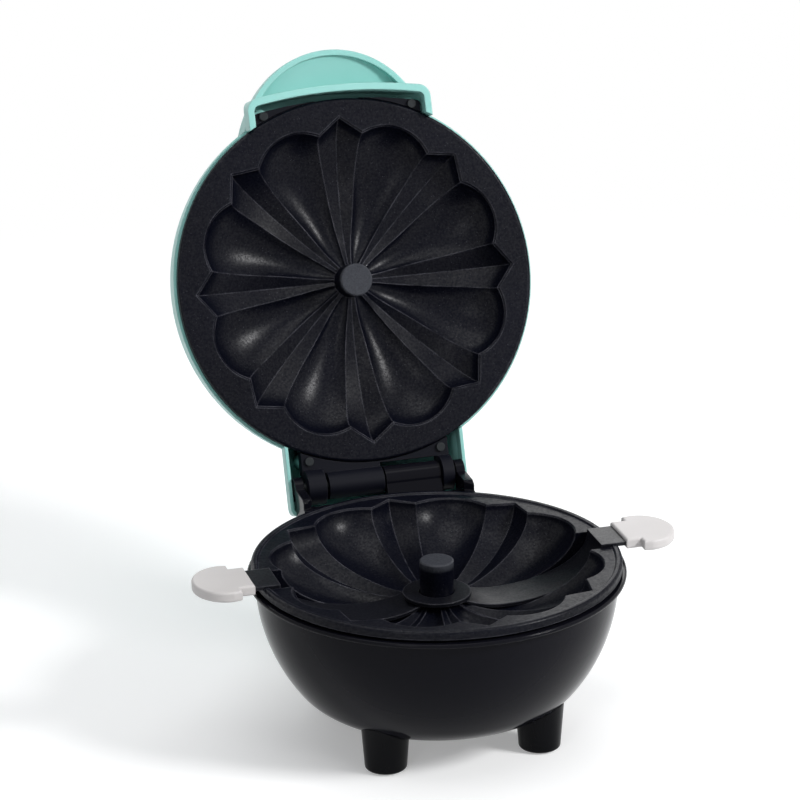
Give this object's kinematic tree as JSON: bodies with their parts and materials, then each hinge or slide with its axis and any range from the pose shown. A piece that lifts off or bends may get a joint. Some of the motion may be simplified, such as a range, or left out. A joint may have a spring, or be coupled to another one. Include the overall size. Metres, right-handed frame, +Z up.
{
  "type": "mini fluted cake maker",
  "caption": "Round countertop cake cooker with two fluted ring cavities, a hinged domed lid with a thumb tab, a lift-out strap with two handles, and a bowl on four feet.",
  "frame": {"origin": "centre of the base on the surface it stands on", "axes": "+Z up, -Y to the front (thumb tab side when closed), +Y to the hinge, +X to the right"},
  "size_m": [0.1672, 0.203, 0.2034],
  "materials": {
    "bowl": "gloss black",
    "foot": "gloss black",
    "pad": "matte",
    "plate": "dark non-stick coating with a fine speckle",
    "strap": "dark non-stick coating",
    "cover": "satin mint green",
    "liner": "matte black",
    "handle": "satin off-white",
    "steel": "zinc plated",
    "element_steel": "heat-tinted sheath",
    "element_light": "bare",
    "shield_light": "bare sheet",
    "black_steel": "black paint",
    "thermostat": "phenolic",
    "fuse": "glazed",
    "terminal": "moulded",
    "gland": "moulded black",
    "lens": "clear amber",
    "lamp": "clear"
  },
  "bodies": {
    "base": {"base_housing": "bowl", "bottom_cover": "black_steel", "bottom_cover_screws": "steel", "base_screws": "steel", "lower_cooking_plate": "plate", "lower_heating_element": "element_steel", "lower_heat_shield": "steel", "base_weight": "steel", "lower_shield_screws": "steel", "thermostat": "thermostat", "thermal_fuse": "fuse", "terminal_block": "terminal", "cord_gland": "gland", "hinge_pin": "steel", "foot_front_left": "foot", "foot_pad_front_left": "pad", "foot_front_right": "foot", "foot_pad_front_right": "pad", "foot_rear_left": "foot", "foot_pad_rear_left": "pad", "foot_rear_right": "foot", "foot_pad_rear_right": "pad"},
    "lid": {"lid_cover": "cover", "lid_liner": "liner", "liner_screws": "steel", "upper_cooking_plate": "plate", "upper_plate_screws": "steel", "upper_heating_element": "element_light", "upper_heat_shield": "shield_light", "upper_shield_screws": "steel", "indicator_lens": "lens", "indicator_lamp": "lamp"},
    "lifter": {"lifter_strap": "strap", "lifter_handle_right": "handle", "lifter_handle_left": "handle"}
  },
  "joints": [
    {"name": "lid_hinge", "type": "hinge", "parent": "base", "child": "lid", "pos_m": [0, 0.071, 0.0618], "axis": [1, 0, 0], "range_deg": [0, 110]},
    {"name": "lifter_lift", "type": "slide", "parent": "base", "child": "lifter", "axis": [0, 0, 1], "range_m": [0, 0.065]}
  ]
}
